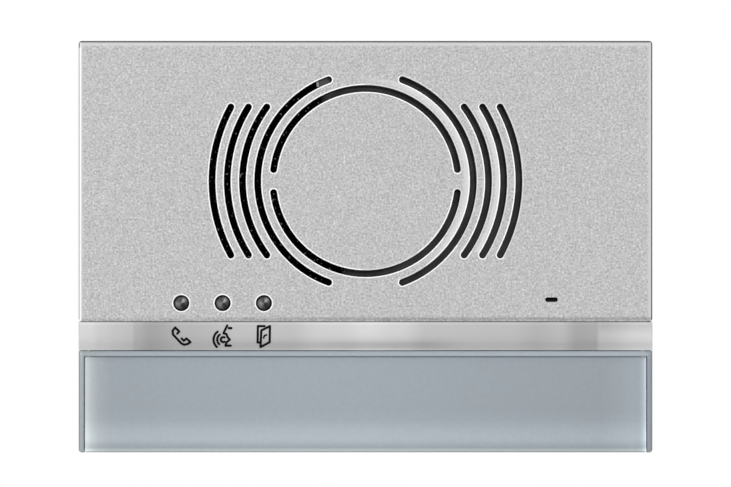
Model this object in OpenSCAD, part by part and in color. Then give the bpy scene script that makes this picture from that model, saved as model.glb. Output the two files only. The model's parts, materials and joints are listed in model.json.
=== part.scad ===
// Flush-mounted door intercom module: metal face with a grille, indicators and one wide call button.
// X runs to the right, Y into the wall and Z up. The wall is the plane y = 0, and the face looks along -Y.

/* [Body] */
// Overall width of the front
body_w = 100; // [98:1:104]
// Overall height of the front
body_h = 71.75; // [71.5:0.25:76]
// How far the metal face stands out from the wall
front_depth = 15; // [15:0.5:17]
// How far the rear housing reaches into the wall box
rear_depth = 22; // [22:0.5:26]
// Thickness of the metal face
plate_t = 1.6; // [1.4:0.1:1.8]
// Thickness of the skirts around the front
skirt_t = 1.4; // [1.2:0.1:1.4]
// Corner radius of the front outline
corner_r = 0.6; // [0.5:0.1:1.1]

/* [Face layout] */
// Height of the pictogram strip
strip_h = 5; // [4.5:0.05:5]
// Height of the call button with its bezel
button_h = 17.67; // [17.6:0.01:18.2]
// Seam between the strip and the call button's bezel
seam = 0.12; // [0.1:0.02:0.2]
// Seam between the metal face and the strip
plate_seam = 0.06; // [0.04:0.02:0.2]

/* [Loudspeaker grille] */
// Width of each slot
slot_w = 1.18; // [1:0.02:1.4]
// Radius of the innermost ring of slots
ring_r = 16.14; // [15.6:0.02:16.4]
// Distance between neighbouring slots
slot_pitch = 2.65; // [2.5:0.01:2.7]
// Outer radius of the loudspeaker
speaker_r = 22.5; // [22.5:0.1:22.7]

/* [Indicators] */
// Diameter of each light pipe
pipe_d = 2.6; // [2.4:0.1:2.6]
// Distance between neighbouring light pipes
pipe_pitch = 7.2; // [6.5:0.1:7.5]

/* [Wall fixing] */
// Distance between the two wall screws
fixing_pitch = 83.5; // [83:0.5:84]
// Diameter of the holes for the wall screws
fixing_d = 4.2; // [3.8:0.1:4.4]

/* [Hidden] */
$fn = 64;

SIDES = [-1, 1];
CUT = 0.5; // how far a cutting tool runs past the faces that it opens

// Levels of the front, from the face back
half_w = body_w / 2;
half_h = body_h / 2;
skirt_x = half_w - skirt_t;
y_face = -front_depth;
y_plate_in = y_face + plate_t;
mesh_t = 0.2;
y_baffle = y_plate_in + mesh_t;
y_shelf = y_baffle + 1.4;
y_shelf_back = y_shelf + 1.4;
y_strip = y_face + 0.2;
y_bezel = y_face + 0.4;
y_lens = y_face + 0.75;
lens_t = 1.45;
card_t = 0.3;
y_tray = y_lens + lens_t + card_t + 0.1;
tray_t = 1.2;
y_tray_back = y_tray + tray_t;
y_pivot = y_tray_back + 1.6;
y_board = y_tray_back + 4.4;
board_t = 1.2;

// Levels of the back, from the flange to the wall box
y_flange = -5;
y_skirt = -3.4;
y_frame = -3.2;
y_seal = -1;
y_rear_in = rear_depth - 1.8;
y_main = 8;
main_t = 1.6;
y_main_back = y_main + main_t;

// Heights of the seams in the face
z_plate = -half_h + button_h + seam + strip_h + plate_seam;
z_strip_top = z_plate - plate_seam;
z_strip = z_strip_top - strip_h;
z_bezel_top = z_strip - seam;
bezel_top_t = 0.93;
bezel_bottom_t = 1;
bezel_side_t = 0.9;
z_open_top = z_bezel_top - bezel_top_t;
z_open = -half_h + bezel_bottom_t;

// Edges of the front parts, as points [inset, depth] from the wall of the part to its face
function round_edge(width, depth, steps) =
    [for (k = [0 : steps]) let (a = 90 * k / steps) [width * (1 - cos(a)), depth * (1 - sin(a))]];
plate_side_edge = round_edge(0.7, 0.6, 8);
plate_top_edge = round_edge(1, 0.6, 8);
plate_low_edge = round_edge(0.75, 0.22, 6);
strip_side_edge = round_edge(0.45, 0.35, 6);
fine_edge = round_edge(0.18, 0.15, 3);
lens_low_edge = round_edge(1.5, 0.5, 8);
// The strip's lower edge slopes gently before it turns in
strip_low_edge = concat([for (p = round_edge(0.15, 0.12, 3)) p + [0, 0.1]], [[1.35, 0]]);

// Chassis and the clearances around it
fit_gap = 0.2;
wall_t = 1.5;
chassis_x = half_w - skirt_t - fit_gap;
chassis_top = half_h - skirt_t - fit_gap;
chassis_bottom = -half_h + 1.2;
inner_x = chassis_x - wall_t;
inner_top = chassis_top - wall_t;
inner_bottom = chassis_bottom + 1.4;
lip_t = 1.2;

// Loudspeaker grille
grille_z = half_h - 24.44;
ring_end_deg = 7.15;
second_ring_r = ring_r + slot_pitch;
second_ring_end_deg = 70;
arc_count = 3;
arc_offset = 0.24;
arc_end_z = 12.9;
sound_r = 20;
mesh_h = 38;

// Indicators and microphone
pipe_x = -32.1;
pipe_z = z_plate + 3.2;
pipe_r = pipe_d / 2;
function pipe_at(i) = [pipe_x + i * pipe_pitch, pipe_z];
pipe_gap = 0.1;
pipe_flange = 0.35;
mic_x = 32.4;
mic_z = pipe_z + 0.6;
mic_slot_w = 0.8;
mic_slot_run = 0.7;

// Call button
button_gap = 0.11;
bezel_x = half_w - bezel_side_t;
lens_x = bezel_x - button_gap;
lens_top = z_open_top - button_gap;
tray_bottom = -half_h + 0.3;
y_bottom_wall = y_tray_back + 0.95;
pivot_z = lens_top - 1.25;
pin_r = 0.9;
pin_gap = 0.05;
arm_x = 42.4;
arm_t = 2;
ear_x = arm_x + arm_t + 0.3;
switch_x = 30;
switch_z = pivot_z - 10;
switch_half = 2.5;
post_y = y_pivot + 0.6;
plunger_gap = 0.12;
plunger_r = 1.5;
spring_x = 36.5;
spring_r = 1.8;
spring_wire = 0.4;
spring_turns = 4;

// Rear housing and its boards
tub_x = 35.5;
tub_z = 27;
tub_t = 1.8;
frame_gap = 0.8;
housing_screw_at = [for (x = SIDES, z = [inner_bottom + 2.4, inner_top - 3]) [x * (inner_x - 3.4), z]];
plate_screw_at = [for (x = SIDES, z = [z_plate + 10, half_h - 12]) [x * 38, z]];
board_screw_at = [[-spring_x, z_strip + 2.9], [spring_x, z_strip + 2.9], [0, inner_bottom + 2]];
main_screw_at = [for (x = SIDES, z = SIDES) [x * 29.5, z * 21]];
clamp_at = [for (a = [30, 150, 270]) (speaker_r + 3.2) * [cos(a), sin(a)] + [0, grille_z]];
strip_peg_x = [-42, -8, 12, 42];

// Rear controls and terminals
terminal_z = -15.4;
terminal_pitch = 5.08;
pole_count = 5;
pole_x = [for (i = [0 : pole_count - 1]) (i - (pole_count - 1) / 2) * terminal_pitch];
speaker_trimmer_at = [13, 14];
mic_trimmer_at = [25, 14];
dip_at = [-18, 13];
dip_pitch = 2.54;
rotor_r = 2.5;
shaft_r = 1.75;

// Routes of the two speaker leads, from the tag strip to the plug
lead_r = 0.5;
red_route = [[18.2, -5.6, 1.6], [19.4, -4.2, 1.4], [22.5, -2.5, 0.5], [26.5, -1, -0.8], [28.7, 1.2, -1.6],
    [28.7, 3.6, -1.8]];
black_route = [[18.2, -5.6, 4.8], [20.2, -4, 4.8], [24.4, -2.2, 3.6], [28.4, -0.8, 1.2], [30.7, 1, -0.9],
    [30.7, 3.6, -1.8]];

// ---- Shared shapes ----

// A drawing in the XZ plane made solid from one y to another
module slab(y0, y1) {
    translate([0, y1, 0]) rotate([90, 0, 0]) linear_extrude(y1 - y0) children();
}

function reversed(list) = [for (i = [len(list) - 1 : -1 : 0]) list[i]];

// A block whose -Y face has shaped edges, each a list of [inset, depth] from the wall to the face
module eased_block(x0, x1, y0, y1, z0, z1, side, bottom, top) {
    intersection() {
        translate([x0, 0, 0]) rotate([90, 0, 90]) linear_extrude(x1 - x0) polygon(concat(
            [[y1, z0], [y1, z1]],
            [for (p = top) [y0 + p[1], z1 - p[0]]],
            [for (p = reversed(bottom)) [y0 + p[1], z0 + p[0]]]
        ));
        translate([0, 0, z0]) linear_extrude(z1 - z0) polygon(concat(
            [[x0, y1]],
            [for (p = side) [x0 + p[0], y0 + p[1]]],
            [for (p = reversed(side)) [x1 - p[0], y0 + p[1]]],
            [[x1, y1]]
        ));
    }
}

// A drawing of radius against y turned about an axis along Y
module turned(at) {
    translate([at[0], 0, at[1]]) rotate([-90, 0, 0]) rotate_extrude() children();
}

// A rod along Y
module rod(at, r, y0, y1) {
    slab(y0, y1) translate(at) circle(r);
}

module block(x0, x1, y0, y1, z0, z1) {
    translate([x0, y0, z0]) cube([x1 - x0, y1 - y0, z1 - z0]);
}

module rect(x0, x1, z0, z1) {
    translate([x0, z0]) square([x1 - x0, z1 - z0]);
}

module rounded_rect(x0, x1, z0, z1, r) {
    rect(x0 + r, x1 - r, z0, z1);
    rect(x0, x1, z0 + r, z1 - r);
    for (x = [x0 + r, x1 - r], z = [z0 + r, z1 - r]) translate([x, z]) circle(r);
}

// A pan-head screw whose head rests at y_head and whose point looks along -Y
module screw_out(at, y_head, length, r = 1, head_r = 2, head_h = 1.2) {
    difference() {
        union() {
            rod(at, r, y_head - length, y_head + 0.01);
            rod(at, head_r, y_head, y_head + head_h);
        }
        screw_slots(at, y_head + head_h / 2, y_head + head_h + CUT);
    }
}

// A pan-head screw whose head rests at y_head and whose point looks along +Y
module screw_in(at, y_head, length, r = 1, head_r = 2, head_h = 1.2) {
    difference() {
        union() {
            rod(at, r, y_head - 0.01, y_head + length);
            rod(at, head_r, y_head - head_h, y_head);
        }
        screw_slots(at, y_head - head_h - CUT, y_head - head_h / 2);
    }
}

// The cross recess of a screw head
module screw_slots(at, y0, y1) {
    slab(y0, y1) translate(at) {
        square([2.2, 0.5], center = true);
        square([0.5, 2.2], center = true);
    }
}

// A round-ended slot along an arc about the origin
module arc_slot(r, from_deg, to_deg) {
    spread = [for (i = [0 : 4]) let (a = from_deg + (to_deg - from_deg) * i / 4) 2 * r * [cos(a), sin(a)]];
    intersection() {
        difference() {
            circle(r + slot_w / 2);
            circle(r - slot_w / 2);
        }
        polygon(concat([[0, 0]], spread));
    }
    for (a = [from_deg, to_deg]) translate(r * [cos(a), sin(a)]) circle(slot_w / 2);
}

// A line of constant width with round ends and corners
module stroke(points, width) {
    for (i = [0 : len(points) - 2]) {
        run = points[i + 1] - points[i];
        translate(points[i]) rotate(atan2(run[1], run[0]))
            translate([0, -width / 2]) square([norm(run), width]);
    }
    for (p = points) translate(p) circle(width / 2);
}

function arc_points(at, r, from_deg, to_deg, steps) =
    [for (i = [0 : steps]) let (a = from_deg + (to_deg - from_deg) * i / steps) at + r * [cos(a), sin(a)]];

// ---- Sweeping a round wire along a route ----

WIRE_SIDES = 8;
function unit(v) = v / norm(v);
function spline(p, i, t) =
    let (a = p[max(i - 1, 0)], b = p[i], c = p[i + 1], d = p[min(i + 2, len(p) - 1)])
    0.5 * (2 * b + (c - a) * t + (2 * a - 5 * b + 4 * c - d) * t * t + (3 * b - a - 3 * c + d) * t * t * t);
function smooth(p, steps) =
    concat([for (i = [0 : len(p) - 2], k = [0 : steps - 1]) spline(p, i, k / steps)], [p[len(p) - 1]]);
function along(p, i) = unit(p[min(i + 1, len(p) - 1)] - p[max(i - 1, 0)]);
function ring(centre, direction, r) =
    let (u = unit(cross(direction, [0, 0, 1])), v = cross(u, direction))
    [for (k = [0 : WIRE_SIDES - 1]) let (a = 360 * k / WIRE_SIDES) centre + r * (cos(a) * u + sin(a) * v)];

module wire(route, r) {
    last = len(route) - 1;
    points = [for (i = [0 : last]) each ring(route[i], along(route, i), r)];
    walls = [for (i = [0 : last - 1], k = [0 : WIRE_SIDES - 1])
        let (next = (k + 1) % WIRE_SIDES, a = i * WIRE_SIDES)
        [a + k, a + next, a + WIRE_SIDES + next, a + WIRE_SIDES + k]];
    first_end = [for (k = [WIRE_SIDES - 1 : -1 : 0]) k];
    second_end = [for (k = [0 : WIRE_SIDES - 1]) last * WIRE_SIDES + k];
    polyhedron(points, concat(walls, [first_end, second_end]));
}

// ---- Wall side ----

module mounting_frame() color("dimgray") {
    countersink = fixing_d / 2 + 1.3;
    difference() {
        union() {
            slab(y_frame, y_seal) difference() {
                rounded_rect(-chassis_x, chassis_x, chassis_bottom + fit_gap, chassis_top, 1);
                opening_x = tub_x + frame_gap;
                opening_z = tub_z + frame_gap;
                rounded_rect(-opening_x, opening_x, -opening_z, opening_z, 1.5);
            }
            block(-5, 5, y_frame - 3.5, y_frame + 0.1, chassis_bottom + fit_gap, inner_bottom);
        }
        for (x = SIDES) {
            rod([x * fixing_pitch / 2, 0], fixing_d / 2, y_frame - CUT, y_seal + CUT);
            turned([x * fixing_pitch / 2, 0]) polygon([
                [0, y_frame - 0.01], [countersink, y_frame - 0.01],
                [fixing_d / 2, y_frame + 1.3], [0, y_frame + 1.3]
            ]);
        }
        translate([0, lock_y, chassis_bottom - CUT]) cylinder(r = lock_r + 0.02, h = 3);
    }
}

module wall_seal() color("#202020")
    slab(y_seal, 0) difference() {
        rounded_rect(-chassis_x + 0.2, chassis_x - 0.2, chassis_bottom + 0.4, chassis_top - 0.2, 1);
        rounded_rect(-chassis_x + 3.2, chassis_x - 3.2, chassis_bottom + 3.4, chassis_top - 3.2, 1);
    }

lock_r = 1;
lock_head_r = 1.6;
lock_y = y_frame - 1.8;

module module_lock_screw() color("silver")
    difference() {
        union() {
            translate([0, lock_y, -half_h]) cylinder(r = lock_head_r, h = 0.6);
            translate([0, lock_y, -half_h + 0.5]) cylinder(r = lock_r, h = inner_bottom + half_h - 0.5);
        }
        translate([0, lock_y, -half_h - CUT]) cylinder(r = 0.85, h = CUT + 0.4, $fn = 6);
    }

// ---- Rear housing ----

module rear_housing() color("#2b2d30") {
    hook_x = 22;
    difference() {
        union() {
            slab(y_flange, y_skirt)
                rounded_rect(-inner_x + 0.3, inner_x - 0.3, inner_bottom + 0.2, inner_top - 0.2, 1);
            slab(y_skirt - 0.1, rear_depth) rounded_rect(-tub_x, tub_x, -tub_z, tub_z, 2);
            for (x = hook_x * SIDES)
                block(x - 4, x + 4, y_seal + 0.2, y_seal + 1.8, tub_z - 0.5, tub_z + 2.4);
            for (x = [-27 : 9 : 27])
                block(x - 0.6, x + 0.6, y_seal + 4, rear_depth - 3, -tub_z - 0.6, tub_z + 0.6);
        }
        slab(y_flange - CUT, y_rear_in)
            rounded_rect(-tub_x + tub_t, tub_x - tub_t, -tub_z + tub_t, tub_z - tub_t, 1);
        for (at = housing_screw_at) {
            rod(at, 1.3, y_flange - CUT, y_skirt + CUT);
            rod(at, 2.3, y_flange + 0.6, y_skirt + CUT);
        }
        block(-13.8, 13.8, y_rear_in - CUT, rear_depth + CUT, terminal_z - 5.4, terminal_z + 5.4);
        for (at = [speaker_trimmer_at, mic_trimmer_at])
            rod(at, shaft_r + 0.55, y_rear_in - CUT, rear_depth + CUT);
        slab(y_rear_in - CUT, rear_depth + CUT) translate(dip_at) square(8.4, center = true);
        for (i = [0 : 4]) slab(y_rear_in - CUT, rear_depth + CUT)
            rounded_rect(-5, 5, 3.5 + i * 3.4, 5 + i * 3.4, 0.74);
    }
    for (at = main_screw_at) difference() {
        rod(at, 2.6, y_main_back, y_rear_in + 0.1);
        rod(at, 1, y_main_back - CUT, y_main_back + 5.4);
    }
}

module housing_screws() color("silver")
    for (at = housing_screw_at) screw_out(at, y_flange + 0.6, 4.4, head_h = 1, head_r = 2.1);

// ---- Chassis ----

module chassis_outline(x, bottom, top) {
    rounded_rect(-x, x, bottom, top, 1);
}

// The bearing that holds one end of the call button's pivot
module pivot_ear(side) {
    difference() {
        block(ear_x, inner_x + 0.1, y_pivot - 1.35, y_pivot + 2, pivot_z - 2, pivot_z + 1.6);
        translate([ear_x - CUT, y_pivot, pivot_z]) rotate([0, 90, 0]) cylinder(r = pin_r + pin_gap, h = 10);
    }
}

module chassis() color("#303236") {
    difference() {
        union() {
            // Baffle behind the face, and the shelf that carries the strip and clears the plate's lip
            slab(y_baffle, y_shelf) rect(-chassis_x, chassis_x, z_plate + lip_t + fit_gap, chassis_top);
            slab(y_baffle, y_shelf) rect(-chassis_x, chassis_x, z_strip + fit_gap, z_strip_top);
            slab(y_shelf - 0.01, y_shelf_back) difference() {
                rect(-chassis_x, chassis_x, z_strip + fit_gap, z_plate + 6);
                translate([0, grille_z]) circle(speaker_r + 0.5);
            }
            // Walls around the edge, which start further back behind the button
            slab(y_shelf - 0.01, y_skirt) difference() {
                rect(-chassis_x, chassis_x, z_strip + fit_gap, chassis_top);
                rect(-inner_x, inner_x, z_strip, inner_top);
            }
            slab(y_tray_back + 1.4, y_skirt) difference() {
                rect(-chassis_x, chassis_x, chassis_bottom, z_strip + 1);
                rect(-inner_x, inner_x, inner_bottom, z_strip + 2);
            }
            for (at = housing_screw_at)
                if (at[1] > 0) rod(at, 3.2, y_shelf - 0.01, y_flange);
                else rod(at, 3.2, y_tray_back + 1.6, y_flange);
            for (i = [0, 1]) rod(board_screw_at[i], 2.4, y_shelf, y_board);
            rod(board_screw_at[2], 2.2, y_tray_back + 2.4, y_board);
            for (i = [0, 1]) rod(clamp_at[i], 2.4, y_shelf - 0.01, y_shelf_back);
        }
        // Sound opening, and the shallow recess that joins the outer slots to it
        rod([0, grille_z], sound_r, y_baffle - CUT, y_shelf + CUT);
        slab(y_baffle - CUT, y_baffle + 0.7) translate([0, grille_z]) intersection() {
            circle(28.6);
            square([60, mesh_h + 0.4], center = true);
        }
        for (i = [0 : 2]) {
            rod(pipe_at(i), pipe_r + 0.15, y_baffle - CUT, y_shelf_back + CUT);
            rod(pipe_at(i), pipe_r + pipe_flange + 0.1, y_baffle - CUT, y_baffle + 0.65);
        }
        rod([mic_x, mic_z], 1.5, y_baffle - CUT, y_shelf_back + CUT);
        rod([mic_x, mic_z], 4.5, y_shelf, y_shelf_back + CUT);
        for (at = plate_screw_at) {
            rod(at, 2.4, y_baffle - CUT, y_baffle + 0.7);
            rod(at, 1.15, y_baffle - CUT, y_shelf + CUT);
        }
        for (x = strip_peg_x) rod([x, z_strip + 2.4], 1, y_baffle - CUT, y_shelf_back + CUT);
        for (at = housing_screw_at) rod(at, 1.02, y_flange - 4.2, y_flange + CUT);
        for (at = board_screw_at) rod(at, 0.97, y_board - 1.9, y_board + CUT);
        for (at = clamp_at) rod(at, 0.97, y_shelf_back - 2.2, y_shelf_back + CUT);
        // A window in the top wall clears the loudspeaker's rim
        block(-8.5, 8.5, y_shelf, y_shelf + 1.7, inner_top - CUT, chassis_top + CUT);
        // Notches for the mounting frame's lip and for the bezel's two catches
        block(-5.4, 5.4, y_frame - 3.6, y_skirt + CUT, chassis_bottom - CUT, inner_bottom + 0.1);
        for (x = 25 * SIDES) block(x - 4.2, x + 4.2, -6.7, -5.3, chassis_bottom - CUT, inner_bottom - 0.5);
    }
    for (m = [0, 1]) mirror([m, 0, 0]) pivot_ear(1);
}

// ---- Metal face ----

module grille() {
    for (turn = [0, 180]) rotate(turn) {
        arc_slot(ring_r, ring_end_deg, 180 - ring_end_deg);
        arc_slot(second_ring_r, -second_ring_end_deg, second_ring_end_deg);
        for (i = [1 : arc_count]) {
            r = second_ring_r + i * slot_pitch + arc_offset;
            end_deg = asin(arc_end_z / r);
            translate([-arc_offset, 0]) arc_slot(r, -end_deg, end_deg);
        }
    }
}

module front_plate() color("#c8c8c8")
    difference() {
        union() {
            difference() {
                intersection() {
                    slab(y_face, y_skirt) rounded_rect(-half_w, half_w, z_plate, half_h, corner_r);
                    eased_block(-half_w, half_w, y_face, y_skirt, z_plate, half_h,
                        plate_side_edge, plate_low_edge, plate_top_edge);
                }
                block(-skirt_x, skirt_x, y_plate_in, y_skirt + CUT, z_plate + lip_t, half_h - skirt_t);
                block(-skirt_x, skirt_x, y_shelf - 0.2, y_skirt + CUT, z_plate - CUT, z_plate + 3);
            }
            for (at = plate_screw_at) rod(at, 2.2, y_plate_in - 0.01, y_plate_in + 0.8);
        }
        slab(y_face - CUT, y_plate_in + CUT) translate([0, grille_z]) grille();
        for (i = [0 : 2]) rod(pipe_at(i), pipe_r + pipe_gap, y_face - CUT, y_plate_in + CUT);
        slab(y_face - CUT, y_plate_in + CUT) translate([mic_x, mic_z])
            stroke([[-mic_slot_run, 0], [mic_slot_run, 0]], mic_slot_w);
        for (at = plate_screw_at) rod(at, 1.02, y_plate_in - 0.8, y_plate_in + 2);
    }

module plate_screws() color("silver")
    for (at = plate_screw_at) screw_out(at, y_shelf, 2);

module icon_strip() color("#bdbdbd") {
    difference() {
        eased_block(-half_w, half_w, y_strip, y_skirt, z_strip, z_strip_top,
            strip_side_edge, strip_low_edge, fine_edge);
        block(-skirt_x, skirt_x, y_strip + 1.4, y_skirt + CUT, z_strip - CUT, z_strip_top + CUT);
    }
    for (x = strip_peg_x) {
        rod([x, z_strip + 2.4], 0.9, y_strip + 1.39, y_shelf_back + 0.1);
        rod([x, z_strip + 2.4], 1.5, y_shelf_back + 0.02, y_shelf_back + 0.6);
    }
}

// ---- Pictograms: a handset, a talking head and an open door ----

icon_line = 0.4;
icon_z = z_strip + 2.5;

module handset_icon() {
    stroke([[-0.7, 0.45], [-0.35, 0.8], [-1.05, 1.5], [-1.5, 0.95], [-1.45, 0.3], [0, -1.25], [0.5, -1.5],
        [1.1, -1.35], [1.6, -1.05], [0.9, -0.4], [0.45, -0.8], [0.05, -0.4]], icon_line);
}

module talking_icon() {
    mouth = [0.12, -0.6];
    stroke(arc_points(mouth, 0.44, 60, 300, 8), icon_line);
    for (r = [1.06, 1.7]) stroke(arc_points(mouth, r, 126, 228, 8), icon_line);
    stroke([[0.8, 1.85], [0.15, 0.5], [0.65, 0.38], [0.85, -0.15], [1.25, -0.6], [0.7, -1.05], [0.5, -1.65],
        [1.4, -1.65]], icon_line);
    stroke([[1.1, 1.4], [1.5, 1.4]], icon_line * 1.1);
}

module door_icon() {
    stroke([[0.1, 1.75], [-1.05, 1.75], [-1.1, -1.1], [-0.6, -1.1]], icon_line);
    stroke([[-0.45, 1], [1.05, 1.75], [1, -1.05], [-0.6, -1.9], [-0.45, 1]], icon_line);
    stroke([[0.45, 0.2], [0.1, 0.1], [-0.05, -0.3]], icon_line * 0.8);
}

module strip_icons() color("#151515")
    slab(y_strip - 0.05, y_strip) {
        translate([pipe_x, icon_z]) handset_icon();
        translate([pipe_x + pipe_pitch, icon_z]) talking_icon();
        translate([pipe_x + 2 * pipe_pitch, icon_z]) door_icon();
    }

module light_pipe(i) color("#4a4d52", 0.6) {
    dome_y = y_face + 0.8;
    dome_h = 0.55;
    flange_r = pipe_r + pipe_flange;
    turned(pipe_at(i)) polygon(concat(
        [[0, dome_y - dome_h]],
        [for (k = [1 : 8]) [pipe_r * sin(k * 11.25), dome_y - dome_h * cos(k * 11.25)]],
        [[pipe_r, y_plate_in + 0.05], [flange_r, y_plate_in + 0.05], [flange_r, y_baffle + 0.6],
            [pipe_r, y_baffle + 0.6], [pipe_r, y_board - 1.5], [0, y_board - 1.5]]
    ));
}

// ---- Loudspeaker, from the mesh behind the slots back to the magnet ----

speaker_at = [0, grille_z];
y_rim = y_shelf + 0.6;
y_rim_back = y_rim + 0.8;
y_cone_edge = y_rim + 0.4;
y_cup = -6.2;
y_cup_back = -5;
y_magnet_back = -0.8;
cone_r = 18.45;
coil_r = 5.1;

module speaker_mesh() color("#101010")
    slab(y_plate_in, y_baffle) translate(speaker_at) intersection() {
        circle(28.2);
        square([60, mesh_h], center = true);
    }

module speaker_gasket() color("#26282a")
    slab(y_shelf, y_rim) translate(speaker_at) difference() {
        circle(speaker_r);
        circle(speaker_r - 1.9);
    }

module speaker_basket() color("#8d9094") {
    difference() {
        turned(speaker_at) polygon([
            [speaker_r - 2.1, y_rim], [speaker_r, y_rim], [speaker_r, y_rim_back],
            [speaker_r - 1.3, y_rim_back], [13.2, y_cup_back], [5.6, y_cup_back],
            [5.6, y_cup], [12.6, y_cup], [speaker_r - 2.1, y_rim_back]
        ]);
        slab(y_rim + 0.9, y_cup_back + CUT) translate(speaker_at) for (a = [12 : 90 : 282]) intersection() {
            difference() {
                circle(18.6);
                circle(14.4);
            }
            polygon([[0, 0], 30 * [cos(a - 28), sin(a - 28)], 30 * [cos(a + 28), sin(a + 28)]]);
        }
    }
    block(14.2, 20.4, y_cup - 1.2, y_cup - 0.6, 0, 6.4);
}

module speaker_magnet() color("#3a3a3c")
    slab(y_cup_back, y_magnet_back) translate(speaker_at) difference() {
        circle(12.5);
        circle(6.2);
    }

module speaker_yoke() color("#a8aaad") {
    rod(speaker_at, 12, y_magnet_back, y_magnet_back + 1.4);
    rod(speaker_at, 4.6, y_cup + 0.3, y_magnet_back + 0.1);
}

module speaker_surround() color("#1c1c1e") {
    mid_r = 19.4;
    roll = 0.85;
    turned(speaker_at) polygon(concat(
        [[mid_r - roll - 0.1, y_cone_edge + 0.3], [mid_r - roll - 0.1, y_cone_edge]],
        [for (a = [180 : -20 : 0]) [mid_r + roll * cos(a), y_cone_edge - 0.1 - roll * sin(a)]],
        [[mid_r + roll + 0.04, y_cone_edge], [mid_r + roll + 0.04, y_cone_edge + 0.3]],
        [for (a = [0 : 20 : 180]) [mid_r + (roll - 0.3) * cos(a), y_cone_edge + 0.1 - (roll - 0.3) * sin(a)]]
    ));
}

module speaker_spider() color("#b98d45") {
    waves = 3;
    step = (12.3 - 5.5) / (waves * 2);
    zigzag = [for (i = [0 : waves * 2]) [5.5 + i * step, y_cup - 0.45 - 0.35 * (i % 2)]];
    back = [for (i = [waves * 2 : -1 : 0]) zigzag[i] + [0, 0.25]];
    turned(speaker_at) polygon(concat(zigzag, back));
}

module speaker_cone() color("#2a2a2c") {
    neck_y = y_cone_edge + 3.4;
    cap_r = 6.6;
    cap_y = neck_y - 0.1 - (cap_r - coil_r - 0.25) * (neck_y - y_cone_edge) / (cone_r - coil_r - 0.25);
    turned(speaker_at) polygon([
        [coil_r + 0.25, neck_y - 0.4], [cone_r, y_cone_edge],
        [cone_r, y_cone_edge + 0.4], [coil_r + 0.25, neck_y]
    ]);
    turned(speaker_at) polygon(concat(
        [[0, cap_y - 1.8]],
        [for (k = [1 : 6]) [cap_r * sin(k * 15), cap_y - 1.8 * cos(k * 15)]],
        [[cap_r - 0.3, cap_y + 0.12], [0, cap_y - 1.4]]
    ));
}

module voice_coil() color("#b5763a")
    slab(y_cone_edge + 3, -2.4) translate(speaker_at) difference() {
        circle(coil_r + 0.25);
        circle(coil_r - 0.25);
    }

module speaker_tag_strip() color("#8a5a2b") {
    block(15.8, 20.2, y_cup - 0.6, y_cup, 0.2, 6.2);
    for (z = [1.6, 4.8]) block(16.4, 19.2, y_cup, y_cup + 0.25, z - 0.8, z + 0.8);
}

module speaker_clamps() color("#c0c2c4")
    for (i = [0 : 2]) slab(y_shelf_back, y_shelf_back + 0.8) difference() {
        translate(clamp_at[i]) rotate([210, 330, 90][i]) rounded_rect(-2.3, 4.6, -2.6, 2.6, 0.8);
        translate(clamp_at[i]) circle(1.15);
    }

module speaker_screws() color("silver")
    for (at = clamp_at) screw_out(at, y_shelf_back + 0.8, 2.8, r = 0.95, head_r = 1.8);

module speaker_leads() {
    color("#b02020") wire(smooth(red_route, 4), lead_r);
    color("#1a1a1a") wire(smooth(black_route, 4), lead_r);
}

module speaker_plug() color("#e8e2cf")
    difference() {
        block(27, 32.4, 3.2, y_main, -3.6, 0);
        for (x = [28.7, 30.7]) rod([x, -1.8], lead_r + 0.1, 3.2 - CUT, 3.65);
    }

// ---- Microphone ----

module mic_membrane() color("#141414")
    rod([mic_x, mic_z], 2.2, y_plate_in, y_baffle);

module mic_boot() color("#1b1b1d")
    difference() {
        rod([mic_x, mic_z], 4.3, y_shelf, y_board);
        rod([mic_x, mic_z], 1, y_shelf - CUT, y_board);
        rod([mic_x, mic_z], 3.05, y_shelf + 0.9, y_board + CUT);
    }

module mic_capsule() color("#c9cbce") {
    difference() {
        rod([mic_x, mic_z], 3, y_shelf + 0.95, y_shelf + 3.6);
        rod([mic_x, mic_z], 0.9, y_shelf, y_shelf + 1.4);
    }
    for (x = SIDES) rod([mic_x + x * 1.1, mic_z], 0.25, y_shelf + 3.59, y_board);
}

// ---- Front board ----

board_x = 39.4;
board_top = -4.5;

module front_board() color("#14532d")
    slab(y_board, y_board + board_t) difference() {
        rounded_rect(-board_x, board_x, inner_bottom + 0.3, board_top, 1);
        for (at = board_screw_at) translate(at) circle(1.15);
    }

module front_board_screws() color("silver")
    for (at = board_screw_at) screw_out(at, y_board + board_t, 3, r = 0.95, head_r = 1.9, head_h = 0.5);

module indicator_leds() color("#e9e4d0")
    for (i = [0 : 2]) slab(y_board - 1.2, y_board) translate(pipe_at(i)) square([2.8, 2], center = true);

module backlight_leds() color("#f2efe0")
    for (x = [-22, -8, 8, 22]) block(x - 1.4, x + 1.4, y_board - 0.8, y_board, pivot_z - 7, pivot_z - 3.6);

module switch_body(side) color("#202124")
    difference() {
        block(side * switch_x - switch_half, side * switch_x + switch_half, y_board - 1.5, y_board,
            switch_z - switch_half, switch_z + switch_half);
        rod([side * switch_x, switch_z], plunger_r + 0.06, y_board - 2, y_board - 0.4);
    }

module switch_plunger(side) color("#c2c4c6")
    rod([side * switch_x, switch_z], plunger_r, post_y + plunger_gap, y_board - 0.9);

// ---- Call button ----

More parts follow.
